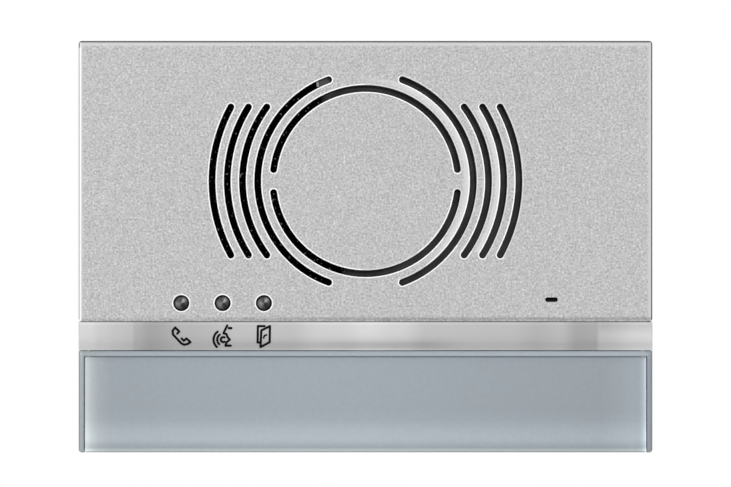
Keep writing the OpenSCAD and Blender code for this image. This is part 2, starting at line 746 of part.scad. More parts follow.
module button_bezel() color("#a9b6c2", 0.8) {
    difference() {
        intersection() {
            slab(y_bezel, y_skirt) {
                rounded_rect(-half_w, half_w, -half_h, z_bezel_top, corner_r);
                rect(-half_w, half_w, z_bezel_top - 2, z_bezel_top);
            }
            eased_block(-half_w, half_w, y_bezel, y_skirt, -half_h, z_bezel_top,
                fine_edge, fine_edge, fine_edge);
        }
        block(-bezel_x, bezel_x, y_bezel - CUT, y_skirt + CUT, z_open, z_open_top);
        // The button reaches the bottom edge in front of the bottom wall
        block(-bezel_x, bezel_x, y_bezel - CUT, y_bottom_wall, -half_h - CUT, z_open + CUT);
        block(-bezel_x, bezel_x, y_tray_back - 0.1, y_skirt + CUT, z_open_top - CUT, z_bezel_top + CUT);
        translate([0, lock_y, -half_h - CUT]) cylinder(r = lock_head_r + 0.15, h = CUT + 0.6);
        translate([0, lock_y, -half_h - CUT]) cylinder(r = lock_r + 0.2, h = 3);
    }
    for (x = 25 * SIDES) block(x - 4, x + 4, -6.5, -5.5, z_open - 0.01, z_open + 0.7);
}

module button_tray() color("#c9d3dc", 0.9) {
    slab(y_tray, y_tray_back) rect(-lens_x, lens_x, tray_bottom, lens_top);
    for (x = SIDES) {
        rod([x * switch_x, switch_z], 1.2, y_tray_back - 0.01, post_y);
        rod([x * spring_x, switch_z], 1.1, y_tray_back - 0.01, y_tray_back + 1.1);
        block(min(x * arm_x, x * (arm_x + arm_t)), max(x * arm_x, x * (arm_x + arm_t)),
            y_tray_back - 0.01, y_pivot + 1, pivot_z - 1, pivot_z + 1);
    }
    pin_x = arm_x + arm_t - 0.01;
    for (m = [0, 1]) mirror([m, 0, 0])
        translate([pin_x, y_pivot, pivot_z])
            rotate([0, 90, 0]) cylinder(r = pin_r, h = inner_x - pin_x - 0.3);
}

module name_card() color("#dfe6ea")
    slab(y_tray - card_t - 0.05, y_tray - 0.05) rect(-lens_x + 1, lens_x - 1, -half_h + 1.8, lens_top - 1);

module button_lens() color("#b8c6d2", 0.5)
    difference() {
        intersection() {
            eased_block(-lens_x, lens_x, y_lens, y_tray, -half_h, lens_top,
                fine_edge, lens_low_edge, fine_edge);
            slab(y_lens, y_tray) rounded_rect(-lens_x, lens_x, -half_h, lens_top, 0.2);
        }
        slab(y_lens + lens_t, y_tray + CUT) rect(-lens_x + 0.8, lens_x - 0.8, -half_h + 1.6, lens_top - 0.8);
    }

// Compression springs between the tray and the front board
module return_springs() color("#b9bcc0") {
    steps = 16 * spring_turns;
    first_y = y_tray_back + spring_wire;
    span = y_board - spring_wire - first_y;
    for (x = spring_x * SIDES) {
        route = [for (i = [0 : steps]) let (a = 360 * spring_turns * i / steps)
            [x + spring_r * cos(a), first_y + span * i / steps, switch_z + spring_r * sin(a)]];
        coil(route, [x, switch_z]);
    }
}

COIL_SIDES = 6;

module coil(route, at) {
    last = len(route) - 1;
    points = [for (p = route) let (u = unit([p[0] - at[0], 0, p[2] - at[1]]))
        each [for (k = [0 : COIL_SIDES - 1]) let (a = 360 * k / COIL_SIDES)
            p + spring_wire / 2 * (cos(a) * u + sin(a) * [0, 1, 0])]];
    walls = [for (i = [0 : last - 1], k = [0 : COIL_SIDES - 1])
        let (next = (k + 1) % COIL_SIDES, a = i * COIL_SIDES)
        [a + k, a + COIL_SIDES + k, a + COIL_SIDES + next, a + next]];
    first_end = [for (k = [0 : COIL_SIDES - 1]) k];
    second_end = [for (k = [COIL_SIDES - 1 : -1 : 0]) last * COIL_SIDES + k];
    polyhedron(points, concat(walls, [first_end, second_end]));
}

// ---- Main board and what stands on it ----

module main_board() color("#14532d")
    slab(y_main, y_main_back) difference() {
        rounded_rect(-32.8, 32.8, -24.4, 24.4, 1);
        for (at = main_screw_at) translate(at) circle(1.15);
    }

module main_board_screws() color("silver")
    for (at = main_screw_at) screw_in(at, y_main, 6, r = 0.98);

module board_header() color("#1d1d1f") {
    header_z = -20.5;
    pins = [for (i = [0 : 9]) [(i - 4.5) * 2.54, header_z]];
    difference() {
        block(-12.7, 12.7, 0.5, y_main, header_z - 1.3, header_z + 1.3);
        for (at = pins) slab(0, 3) translate(at) square(0.7, center = true);
    }
    for (at = pins) slab(y_board + board_t, 3) translate(at) square(0.64, center = true);
}

module line_transformer() color("#b8902f") {
    block(15, 27, 6.5, y_main, -18, -7);
    block(16, 26, -1.5, 6.51, -17, -8);
    block(14.5, 27.5, 0.8, 4.2, -15, -10);
}

module capacitors() color("#1f2a44")
    for (at = [[-26, -1, 3.9], [-26, 8.5, 3.9], [-16.5, -5.5, 2.9]])
        rod([at[0], at[1]], at[2], y_main - 2.6 * at[2], y_main);

module processor_chip() color("#17181a") {
    block(-4.5, 4.5, y_main - 1.4, y_main - 0.2, -14, -5);
    for (x = 5 * SIDES, i = [0 : 7])
        slab(y_main - 0.35, y_main) translate([x, i * 1.1 - 13.3]) square([1.4, 0.44], center = true);
}

module amplifier_chip() color("#17181a") {
    block(-25, -21, y_main - 1.5, y_main - 0.15, -21, -16);
    for (x = 2.4 * SIDES, i = [0 : 3])
        slab(y_main - 0.3, y_main) translate([x - 23, i * 1.27 - 20.2]) square([1.2, 0.4], center = true);
}

module lock_relay() color("#27408b")
    block(-31, -21.5, y_main - 10, y_main, 14.4, 19.6 - 1.4);

module trimmer_bodies() color("#2d5fa8")
    for (at = [speaker_trimmer_at, mic_trimmer_at]) difference() {
        block(at[0] - 3.4, at[0] + 3.4, y_main_back, y_main_back + 3.6, at[1] - 3.4, at[1] + 3.4);
        rod(at, rotor_r + 0.08, y_main_back + 2.2, y_main_back + 5);
    }

module trimmer_rotor(at) color("#f0f0ec")
    difference() {
        union() {
            rod(at, rotor_r, y_main_back + 2.3, y_main_back + 3.6);
            rod(at, shaft_r, y_main_back + 3.5, rear_depth - 0.6);
        }
        slab(rear_depth - 1.5, rear_depth) translate(at) square([0.7, 4], center = true);
        translate([at[0], rear_depth - 2.6, at[1] + shaft_r - 0.3]) cube([0.4, 4, 1]);
    }

module dip_switch_body() color("#a02626")
    difference() {
        slab(y_main_back, y_main_back + 8.4) translate(dip_at) square(7.2, center = true);
        for (i = [0, 1]) block(dip_at[0] - 2, dip_at[0] + 2, y_main_back + 7, y_main_back + 9,
            dip_at[1] + (i - 0.5) * dip_pitch - 0.65, dip_at[1] + (i - 0.5) * dip_pitch + 0.65);
    }

module dip_slider(i) color("#f4f4f0")
    block(dip_at[0] - 1.9, dip_at[0] - 0.4, y_main_back + 7.1, y_main_back + 9.3,
        dip_at[1] + (i - 0.5) * dip_pitch - 0.5, dip_at[1] + (i - 0.5) * dip_pitch + 0.5);

module terminal_header() color("#2f7d4f") {
    difference() {
        block(-13.3, 13.3, y_main_back, y_main_back + 8.8, terminal_z - 4.8, terminal_z + 4.8);
        block(-12.9, 12.9, y_main_back + 1.8, y_main_back + 10, terminal_z - 4.2, terminal_z + 4.2);
    }
    for (x = pole_x)
        slab(y_main_back + 1.79, y_main_back + 7) translate([x, terminal_z - 2]) square(1, center = true);
}

module terminal_plug() color("#3a9a63")
    difference() {
        block(-12.7, 12.7, y_main_back + 2.2, rear_depth + 5.4, terminal_z - 3.9, terminal_z + 3.9);
        for (x = pole_x) {
            block(x - 0.7, x + 0.7, y_main_back + 2, y_main_back + 7.6, terminal_z - 2.7, terminal_z - 1.3);
            block(x - 1.7, x + 1.7, rear_depth - 2.4, rear_depth + 6, terminal_z - 3, terminal_z + 0.2);
            translate([x, rear_depth + 2.2, terminal_z + 0.9]) cylinder(r = 1.9, h = 5);
        }
    }

module terminal_screws() color("silver")
    for (x = pole_x) translate([x, rear_depth + 2.2, 0]) difference() {
        translate([0, 0, terminal_z + 0.9]) cylinder(r = 1.8, h = 2.2);
        translate([-2.5, -0.3, terminal_z + 2.4]) cube([5, 0.6, 1]);
    }

mounting_frame();
wall_seal();
rear_housing();
housing_screws();
chassis();
module_lock_screw();
front_plate();
plate_screws();
icon_strip();
strip_icons();
button_bezel();
light_pipe(0);  // light_pipe_call
light_pipe(1);  // light_pipe_talk
light_pipe(2);  // light_pipe_door
speaker_mesh();
speaker_gasket();
speaker_basket();
speaker_magnet();
speaker_yoke();
speaker_surround();
speaker_spider();
speaker_cone();
voice_coil();
speaker_tag_strip();
speaker_clamps();
speaker_screws();
speaker_leads();
speaker_plug();
mic_capsule();
mic_boot();
mic_membrane();
front_board();
front_board_screws();
indicator_leds();
backlight_leds();
switch_body(-1);  // switch_left_body
switch_body(1);  // switch_right_body
switch_plunger(-1);  // switch_left_plunger
switch_plunger(1);  // switch_right_plunger
return_springs();
button_tray();
name_card();
button_lens();
board_header();
main_board();
main_board_screws();
line_transformer();
capacitors();
processor_chip();
amplifier_chip();
lock_relay();
trimmer_bodies();
trimmer_rotor(speaker_trimmer_at);  // speaker_trimmer_rotor
trimmer_rotor(mic_trimmer_at);  // mic_trimmer_rotor
dip_switch_body();
dip_slider(0);  // dip_slider_1
dip_slider(1);  // dip_slider_2
terminal_header();
terminal_plug();
terminal_screws();
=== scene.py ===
"""Looks of a door intercom audio module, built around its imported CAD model.

The front faces -Y, +X runs to the right and +Z up. Lengths are in metres.
"""
import json
import math

import bmesh
import bpy
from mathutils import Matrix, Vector


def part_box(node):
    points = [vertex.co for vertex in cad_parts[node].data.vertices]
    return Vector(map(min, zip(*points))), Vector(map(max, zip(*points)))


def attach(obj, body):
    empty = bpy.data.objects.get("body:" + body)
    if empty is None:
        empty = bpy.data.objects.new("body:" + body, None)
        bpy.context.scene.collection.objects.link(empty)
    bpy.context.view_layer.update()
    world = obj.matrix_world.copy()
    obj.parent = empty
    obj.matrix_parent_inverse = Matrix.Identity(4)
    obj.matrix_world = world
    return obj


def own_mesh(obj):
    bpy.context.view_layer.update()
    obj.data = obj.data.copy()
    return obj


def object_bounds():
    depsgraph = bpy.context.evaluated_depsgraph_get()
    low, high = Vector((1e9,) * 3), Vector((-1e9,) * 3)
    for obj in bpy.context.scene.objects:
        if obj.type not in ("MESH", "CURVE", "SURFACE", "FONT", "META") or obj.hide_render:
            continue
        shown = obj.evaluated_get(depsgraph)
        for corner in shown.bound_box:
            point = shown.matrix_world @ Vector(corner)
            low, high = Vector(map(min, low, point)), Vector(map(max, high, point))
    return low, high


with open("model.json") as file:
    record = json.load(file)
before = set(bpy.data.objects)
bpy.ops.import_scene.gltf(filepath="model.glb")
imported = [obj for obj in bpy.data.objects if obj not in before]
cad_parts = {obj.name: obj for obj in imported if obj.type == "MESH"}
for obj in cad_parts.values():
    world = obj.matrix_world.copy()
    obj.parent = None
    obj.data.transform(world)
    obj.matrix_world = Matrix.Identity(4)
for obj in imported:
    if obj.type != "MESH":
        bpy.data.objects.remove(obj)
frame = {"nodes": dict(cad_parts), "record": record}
nodes = frame["nodes"]
cad_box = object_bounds()

MM = 0.001


# ---- Places that the frame gives ----

plate_lo, plate_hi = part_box("front_plate")
bezel_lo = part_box("button_bezel")[0]
strip_lo, strip_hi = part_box("icon_strip")
gasket_lo, gasket_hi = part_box("speaker_gasket")
speaker_axis = (gasket_lo + gasket_hi) / 2
face_y = plate_lo.y


# ---- Camera, lights and floor ----

def add_camera():
    """Looks square at the face from far away, as a product photograph does."""
    distance = 0.8
    view_width = 127.35 * MM
    centre_above_object = 0.56 * MM
    data = bpy.data.cameras.new("camera")
    data.sensor_width = 36
    data.lens = data.sensor_width * distance / view_width
    camera = bpy.data.objects.new("camera", data)
    middle = (plate_hi.z + bezel_lo.z) / 2
    camera.location = (0, face_y - distance, middle + centre_above_object)
    camera.rotation_euler = (math.radians(90), 0, 0)
    data.clip_end = 20
    bpy.context.scene.collection.objects.link(camera)
    bpy.context.scene.camera = camera


def add_softbox(name, place, target, size, watts, mirrored=True):
    """A rectangular light aimed at a target; mirrored says whether glossy surfaces show it."""
    data = bpy.data.lights.new(name, "AREA")
    data.shape = "RECTANGLE"
    data.size, data.size_y = size
    data.energy = watts
    light = bpy.data.objects.new(name, data)
    light.location = place
    light.visible_glossy = mirrored
    aim = Vector(target) - Vector(place)
    light.rotation_euler = aim.to_track_quat("-Z", "Y").to_euler()
    bpy.context.scene.collection.objects.link(light)


def facing(degrees):
    """Where a direction at this angle from the front stands on a 0 to 1 scale from front to back."""
    return (1 - math.cos(math.radians(degrees))) / 2


def add_studio():
    """A white room seen by the camera, and a ring of soft light around the object's sides.

    Straight ahead the room is dimmer, so the flat face stays calm while its rounded edges
    catch the ring, and just behind the face it is dark, which draws the outline.
    """
    ring_strength = 1.25
    # Degrees away from the front, and brightness there
    levels = [(0, 0.74), (24, 0.785), (38, 1.0), (55, 1.25), (84, 1.25), (92, 0.04), (148, 0.04), (156, 0.3),
              (180, 0.3)]
    world = bpy.data.worlds.new("studio")
    bpy.context.scene.world = world
    world.use_nodes = True
    tree = world.node_tree
    tree.nodes.clear()

    def add(kind, **settings):
        node = tree.nodes.new(kind)
        for key, value in settings.items():
            setattr(node, key, value)
        return node

    def graded(axis, stops):
        """A grey level along one axis of the direction, from -1 to 1."""
        place = add("ShaderNodeMapRange")
        place.inputs["From Min"].default_value = -1
        tree.links.new(axis, place.inputs["Value"])
        ramp = add("ShaderNodeValToRGB")
        while len(ramp.color_ramp.elements) < len(stops):
            ramp.color_ramp.elements.new(1)
        for element, (position, level) in zip(ramp.color_ramp.elements, stops):
            element.position = position
            element.color = (level, level, level, 1)
        tree.links.new(place.outputs[0], ramp.inputs[0])
        return ramp.outputs[0]

    direction = add("ShaderNodeSeparateXYZ")
    tree.links.new(add("ShaderNodeTexCoord").outputs["Generated"], direction.inputs[0])
    by_angle = [(facing(angle), level / ring_strength) for angle, level in levels]
    around = graded(direction.outputs["Y"], by_angle)
    height = graded(direction.outputs["Z"], [(0, 0.3), (0.3, 0.45), (0.45, 0.92), (0.55, 1), (1, 1)])
    across = graded(direction.outputs["X"], [(0, 1), (0.55, 1), (0.75, 0.95), (1, 0.95)])

    def product(a, b):
        mix = add("ShaderNodeMix", data_type="RGBA", blend_type="MULTIPLY")
        mix.inputs[0].default_value = 1
        tree.links.new(a, mix.inputs[6])
        tree.links.new(b, mix.inputs[7])
        return mix.outputs[2]

    lit = add("ShaderNodeBackground")
    lit.inputs["Strength"].default_value = ring_strength
    tree.links.new(product(product(around, height), across), lit.inputs["Color"])
    seen = add("ShaderNodeBackground")
    seen.inputs["Color"].default_value = (1, 1, 1, 1)
    mix = add("ShaderNodeMixShader")
    tree.links.new(add("ShaderNodeLightPath").outputs["Is Camera Ray"], mix.inputs[0])
    tree.links.new(lit.outputs[0], mix.inputs[1])
    tree.links.new(seen.outputs[0], mix.inputs[2])
    tree.links.new(mix.outputs[0], add("ShaderNodeOutputWorld").inputs["Surface"])
    centre = (0, face_y, 0)
    add_softbox("key_light", (0.16, face_y - 0.6, 0.19), centre, (0.05, 0.05), 2.0, mirrored=False)
    add_softbox("catch_light", (0.22, face_y - 0.15, -0.22), centre, (0.04, 0.04), 0.03)
    add_softbox("left_light", (-0.6, 0.3, 0), centre, (0.6, 0.8), 1.3)
    add_softbox("back_light", (0.1, 0.7, 0.35), (0, 0, 0), (0.6, 0.4), 4.0, mirrored=False)
    view = bpy.context.scene.view_settings
    view.view_transform = "Standard"
    view.look = "None"


def add_floor():
    """A plain pale floor some way below the object."""
    below = 34 * MM
    half = 0.42
    data = bpy.data.meshes.new("floor")
    z = cad_box[0].z - below
    corners = [(-half, -half, z), (half, -half, z), (half, half, z), (-half, half, z)]
    data.from_pydata(corners, [], [(0, 1, 2, 3)])
    floor = bpy.data.objects.new("floor", data)
    bpy.context.scene.collection.objects.link(floor)
    paint = Shader("floor_paint", (0.58, 0.58, 0.58), roughness=0.75)
    paint.mottle((0.56, 0.56, 0.56), (0.60, 0.60, 0.60), size=60 * MM)
    data.materials.append(paint.material)


# ---- Materials ----

class Shader:
    """A Principled material with short calls for the nodes that this script uses.

    Sizes are real lengths: a pattern of size 0.3 mm has features about that far apart.
    """

    def __init__(self, name, color, roughness=0.5, metallic=0.0, **sockets):
        self.material = bpy.data.materials.new(name)
        self.material.use_nodes = True
        self.tree = self.material.node_tree
        self.surface = self.tree.nodes["Principled BSDF"]
        self.set("Base Color", (*color, 1))
        self.set("Roughness", roughness)
        self.set("Metallic", metallic)
        for label, value in sockets.items():
            self.set(label.replace("_", " ").title().replace("Ior", "IOR"), value)
        self.coordinates = self.add("ShaderNodeTexCoord").outputs["Object"]
        self.normal = None

    def set(self, label, value):
        self.surface.inputs[label].default_value = value

    def add(self, kind, **settings):
        node = self.tree.nodes.new(kind)
        for key, value in settings.items():
            setattr(node, key, value)
        return node

    def link(self, output, socket):
        self.tree.links.new(output, socket)

    def stretched(self, scale, turn=0):
        """The object's coordinates, turned about Y by some degrees and then scaled along each axis."""
        node = self.add("ShaderNodeMapping", vector_type="TEXTURE")
        node.inputs["Rotation"].default_value = (0, math.radians(turn), 0)
        node.inputs["Scale"].default_value = tuple(1 / factor for factor in scale)
        self.link(self.coordinates, node.inputs["Vector"])
        return node.outputs[0]

    def noise(self, size, detail=2.0, roughness=0.5, stretch=(1, 1, 1), turn=0):
        node = self.add("ShaderNodeTexNoise")
        node.inputs["Scale"].default_value = 1 / size
        node.inputs["Detail"].default_value = detail
        node.inputs["Roughness"].default_value = roughness
        self.link(self.stretched(stretch, turn), node.inputs["Vector"])
        return node.outputs["Fac"]

    def cells(self, size):
        """Distance from the middles of scattered cells."""
        node = self.add("ShaderNodeTexVoronoi", feature="F1")
        node.inputs["Scale"].default_value = 1 / size
        self.link(self.coordinates, node.inputs["Vector"])
        return node.outputs["Distance"]

    def axis(self, name):
        node = self.add("ShaderNodeSeparateXYZ")
        self.link(self.coordinates, node.inputs[0])
        return node.outputs[name]

    def distance(self, point):
        """How far each place is from a point."""
        node = self.add("ShaderNodeVectorMath", operation="DISTANCE")
        self.link(self.coordinates, node.inputs[0])
        node.inputs[1].default_value = point
        return node.outputs["Value"]

    def rescaled(self, value, low, high, to_low=0.0, to_high=1.0):
        """Stretches low..high to 0..1, or to another range, and clamps the rest."""
        node = self.add("ShaderNodeMapRange")
        for label, number in (("From Min", low), ("From Max", high), ("To Min", to_low), ("To Max", to_high)):
            node.inputs[label].default_value = number
        self.link(value, node.inputs["Value"])
        return node.outputs[0]

    def ramp(self, value, stops, smooth=False):
        """Colours along a value: stops are (place, (r, g, b))."""
        node = self.add("ShaderNodeValToRGB")
        scale = node.color_ramp
        scale.interpolation = "EASE" if smooth else "LINEAR"
        while len(scale.elements) < len(stops):
            scale.elements.new(1)
        for element, (place, color) in zip(scale.elements, stops):
            element.position = place
            element.color = (*color, 1)
        self.link(value, node.inputs[0])
        return node.outputs[0]

    def math(self, operation, a, b=0.0):
        """One arithmetic step on outputs or numbers."""
        node = self.add("ShaderNodeMath", operation=operation)
        for socket, value in zip(node.inputs, (a, b)):
            if isinstance(value, (int, float)):
                socket.default_value = value
            else:
                self.link(value, socket)
        return node.outputs[0]

    def blended(self, factor, a, b, kind="MIX"):
        """Mixes two colours; a number or a colour may stand in for an output."""
        node = self.add("ShaderNodeMix", data_type="RGBA", blend_type=kind)
        for socket, value in ((node.inputs[0], factor), (node.inputs[6], a), (node.inputs[7], b)):
            if isinstance(value, (int, float)):
                socket.default_value = value
            elif isinstance(value, tuple):
                socket.default_value = (*value, 1)
            else:
                self.link(value, socket)
        return node.outputs[2]

    def paint(self, output):
        self.link(output, self.surface.inputs["Base Color"])

    def mottle(self, low, high, size):
        """Lets the colour drift between two close tones."""
        self.paint(self.ramp(self.noise(size), [(0.3, low), (0.7, high)]))

    def gloss(self, value, low, high):
        """Roughness that follows a pattern from low to high."""
        self.link(self.rescaled(value, 0.3, 0.7, low, high), self.surface.inputs["Roughness"])

    def bump(self, height, depth, strength=1.0):
        """Relief of a real depth; a second call adds to the first."""
        node = self.add("ShaderNodeBump")
        node.inputs["Strength"].default_value = strength
        node.inputs["Distance"].default_value = depth
        self.link(height, node.inputs["Height"])
        if self.normal is not None:
            self.link(self.normal, node.inputs["Normal"])
        self.normal = node.outputs[0]
        self.link(self.normal, self.surface.inputs["Normal"])


def tone(level, tint=(1, 1, 1)):
    """A linear colour from a screen level of 0 to 255."""
    value = level / 255
    linear = value / 12.92 if value <= 0.04045 else ((value + 0.055) / 1.055) ** 2.4
    return tuple(linear * t for t in tint)


def screen_tones(stops, tint=(1, 1, 1)):
    """Ramp stops from places and screen levels."""
    return [(place, tone(level, tint)) for place, level in stops]


def greys(stops):
    """Ramp stops from places and plain grey factors."""
    return [(place, (level, level, level)) for place, level in stops]


def speckled_paint():
    """Light grey metallic paint: fine bright and dark grains over an even tone.

    The highlights along the outer edges and the reflections between the right-hand slots are painted as tones,
    so that they stay where they are in every view. Down in the openings, shade is painted as a dark tone.
    """
    s = Shader("speckled_paint", tone(214), roughness=0.32, metallic=0.85)
    grain = s.noise(0.35 * MM, detail=3, roughness=0.62)
    coarse = s.noise(1.3 * MM, detail=1)
    body = s.ramp(grain, screen_tones([(0.30, 179), (0.46, 212), (0.56, 224), (0.70, 251)]))
    drift = s.ramp(coarse, greys([(0.3, 0.95), (0.7, 1.0)]))
    speckles = s.blended(1.0, body, drift, "MULTIPLY")

    # Painted highlight: a light tone along the top and the sides, with a brighter line near the left edge
    side_width = 1.0 * MM
    top_width = 1.1 * MM
    fade = 0.6 * MM
    sideways = s.math("ABSOLUTE", s.axis("X"))
    highlight_at_side = s.rescaled(sideways, plate_hi.x - side_width, plate_hi.x - side_width + fade)
    highlight_at_top = s.rescaled(s.axis("Z"), plate_hi.z - top_width, plate_hi.z - top_width + fade)
    paint = s.blended(s.math("MAXIMUM", highlight_at_side, highlight_at_top), speckles, tone(228))
    from_left = s.rescaled(s.axis("X"), plate_lo.x, plate_lo.x + side_width)
    painted_highlight_left_line = s.ramp(from_left, greys([(0.15, 0), (0.28, 1), (0.42, 1), (0.55, 0)]))
    paint = s.blended(painted_highlight_left_line, paint, tone(255))

    # Painted reflection: a lighter tone between the slots, on the right of the loudspeaker
    ring_radius = 16 * MM
    outer_radius = 24 * MM
    slot_reach = 12.4 * MM
    rings = s.rescaled(s.distance((speaker_axis.x, face_y, speaker_axis.z)), ring_radius, outer_radius)
    inner_ring = s.math("LESS_THAN", rings, 0.5)
    bands = s.ramp(rings, greys([(0.10, 0), (0.16, 0.6), (0.24, 0.9), (0.28, 0), (0.80, 0), (0.84, 0.7),
                                 (0.91, 0.7), (0.94, 0)]))
    slanted = s.math("ADD", s.axis("X"), s.math("MULTIPLY", s.axis("Z"), 0.3))
    rightward = s.rescaled(slanted, 8 * MM, 16 * MM)
    from_axis = s.math("ABSOLUTE", s.math("SUBTRACT", s.axis("Z"), speaker_axis.z))
    # The outer band ends with its slots, and the inner one runs on
    always_near = s.math("MULTIPLY", inner_ring, 100)
    beside = s.math("LESS_THAN", s.math("SUBTRACT", from_axis, always_near), slot_reach)
    painted_reflection_bands = s.math("MULTIPLY", s.math("MULTIPLY", bands, rightward), beside)
    paint = s.blended(painted_reflection_bands, paint, tone(250))

    # Painted shade: a darker tone along the lower edge, which fades out towards the left
    low_width = 0.9 * MM
    up = s.rescaled(s.axis("Z"), plate_lo.z, plate_lo.z + low_width)
    low = s.ramp(up, greys([(0.0, 1.0), (0.12, 0.98), (0.26, 0.88), (0.46, 0.68), (0.66, 0.69), (0.86, 0.86),
                            (1.0, 0.97)]))
    to_right = s.rescaled(s.axis("X"), -47 * MM, 4 * MM)
    paint = s.blended(to_right, paint, s.blended(1.0, paint, low, "MULTIPLY"))

    # Painted shade: a dark line where the edge turns back, wider on the top and the right, narrow on the left
    turned_back = 0.8 * MM
    back = s.rescaled(s.axis("Y"), face_y, face_y + turned_back)
    painted_shade_wide = s.ramp(back, greys([(0.05, 1), (0.12, 0.75), (0.25, 0.42), (0.38, 0.2), (0.75, 0.13), (0.94, 1)]))
    painted_shade_thin = s.ramp(back, greys([(0.30, 1), (0.45, 0.3), (0.75, 0.13), (0.94, 1)]))
    on_right = s.math("GREATER_THAN", s.axis("X"), plate_hi.x - side_width)
    on_top = s.math("GREATER_THAN", s.axis("Z"), plate_hi.z - 1.2 * MM)
    on_left = s.math("LESS_THAN", s.axis("X"), plate_lo.x + side_width)
    top_or_right = s.math("MAXIMUM", on_right, on_top)
    paint = s.blended(top_or_right, paint, s.blended(1.0, paint, painted_shade_wide, "MULTIPLY"))
    paint = s.blended(on_left, paint, s.blended(1.0, paint, painted_shade_thin, "MULTIPLY"))

    # Painted shade: dark down in the openings, which keep clear of the outer walls
    wall = 2 * MM
    deep = s.rescaled(s.axis("Y"), face_y + 0.25 * MM, face_y + 0.6 * MM)
    off_side = s.math("LESS_THAN", sideways, plate_hi.x - wall)
    off_top = s.math("LESS_THAN", s.axis("Z"), plate_hi.z - wall)
    painted_shade_inside = s.math("MULTIPLY", deep, s.math("MULTIPLY", off_side, off_top))
    s.paint(s.blended(painted_shade_inside, paint, (0.02, 0.02, 0.02)))
    s.gloss(grain, 0.28, 0.38)
    s.bump(grain, 0.012 * MM, 0.4)
    return s.material


def rolled_rim(name, level):
    """The metal's smooth lip around each opening."""
    s = Shader(name, tone(level), roughness=0.35, metallic=0.3)
    s.mottle(tone(level - 5), tone(level + 5), size=0.9 * MM)
    return s.material


def baffle_cloth():
    """Fine black cloth behind the slots: painted shade makes it blacker towards the left, with a few grains of
    dust there.
    """
    black_until = -4.9 * MM
    grey_from = -3.6 * MM
    s = Shader("baffle_cloth", (0.01, 0.01, 0.01), roughness=0.8, specular_ior_level=0.0)
    slanted = s.math("ADD", s.axis("X"), s.math("MULTIPLY", s.axis("Z"), 0.118))
    # Painted shade: the cloth is near black towards the left and dark grey towards the right
    across = s.rescaled(slanted, black_until, grey_from)
    depth = s.ramp(across, [(0.0, (0.0012, 0.0012, 0.0012)), (1.0, (0.046, 0.046, 0.047))])
    folds = s.noise(2.2 * MM, detail=2, stretch=(1, 1, 0.35), turn=45)
    tones = s.blended(1.0, depth, s.ramp(folds, greys([(0.3, 0.6), (0.7, 1.1)])), "MULTIPLY")

    # Painted highlight: a light stripe at the top end of one slot, with painted light as a grey patch beside
    # it
    line_place = -5.0 * MM
    slot_end_height = 27.9 * MM
    line = s.rescaled(s.math("ABSOLUTE", s.math("SUBTRACT", slanted, line_place)), 0.28 * MM, 0.12 * MM)
    high = s.math("GREATER_THAN", s.axis("Z"), slot_end_height)
    in_slot = s.math("MULTIPLY", high, s.math("LESS_THAN", s.axis("X"), line_place))
    painted_light_patch = s.rescaled(slanted, line_place, -4.6 * MM)
    tones = s.blended(s.math("MULTIPLY", painted_light_patch, in_slot), tones, (0.10, 0.10, 0.10))
    tones = s.blended(s.math("MULTIPLY", line, in_slot), tones, tone(165))

    dust = s.rescaled(s.noise(0.5 * MM, detail=1), 0.67, 0.71)
    on_black = s.rescaled(slanted, grey_from, black_until)
    s.paint(s.blended(s.math("MULTIPLY", dust, on_black), tones, (0.15, 0.15, 0.148)))
    s.bump(s.noise(0.2 * MM, detail=1), 0.01 * MM, 0.5)
    return s.material


def satin_silver():
    """Soft silver with broad soft reflections painted into its tones, which drift along its length."""
    s = Shader("satin_silver", tone(190), roughness=0.35, metallic=0.4)
    along = s.rescaled(s.axis("X"), strip_lo.x, strip_hi.x)
    # Painted reflections: screen levels along the strip
    levels = [(0.0, 212), (0.02, 210), (0.04, 199), (0.07, 191), (0.093, 186), (0.098, 173), (0.125, 160),
              (0.19, 177), (0.28, 188), (0.37, 188), (0.42, 202), (0.46, 203), (0.50, 211), (0.56, 203),
              (0.61, 186), (0.75, 183), (0.80, 174), (0.84, 180), (0.87, 161), (0.902, 164), (0.908, 186),
              (0.98, 208), (1.0, 210)]
    body = s.ramp(along, screen_tones(levels), smooth=True)

    # Painted shade: the lower part is darker, most of all in the middle of the strip, with a painted highlight
    # at its very bottom
    up = s.rescaled(s.axis("Z"), strip_lo.z, strip_hi.z)
    shade = s.ramp(up, greys([(0.0, 1.15), (0.04, 0.9), (0.09, 0.72), (0.14, 0.67), (0.24, 0.67), (0.32, 0.80),
                              (0.42, 0.91), (0.55, 0.98), (0.7, 1.0)]))
    strength = s.ramp(along, greys([(0.0, 0.33), (0.16, 0.25), (0.28, 0.55), (0.40, 0.7), (0.48, 1.0),
                                    (0.60, 1.0), (0.68, 0.42), (0.88, 0.42), (0.94, 0.55), (1.0, 0.5)]))
    below = s.blended(strength, (1, 1, 1), shade)

    # A painted highlight under the top edge, and a darker upper right corner
    above = s.ramp(up, greys([(0.88, 1), (0.93, 1.12), (0.97, 1.1), (1.0, 0.72)]))
    toned = s.blended(1.0, s.blended(1.0, body, below, "MULTIPLY"), above, "MULTIPLY")
    corner = s.math("MULTIPLY", s.rescaled(up, 0.55, 0.85), s.rescaled(along, 0.900, 0.912))
    dimmed = s.blended(1.0, toned, (0.78, 0.78, 0.78), "MULTIPLY")
    s.paint(s.blended(s.math("MULTIPLY", corner, 0.85), toned, dimmed))
    brushed = s.noise(0.25 * MM, detail=2, stretch=(0.04, 1, 1))
    s.gloss(brushed, 0.3, 0.4)
    s.bump(brushed, 0.002 * MM, 0.4)
    return s.material


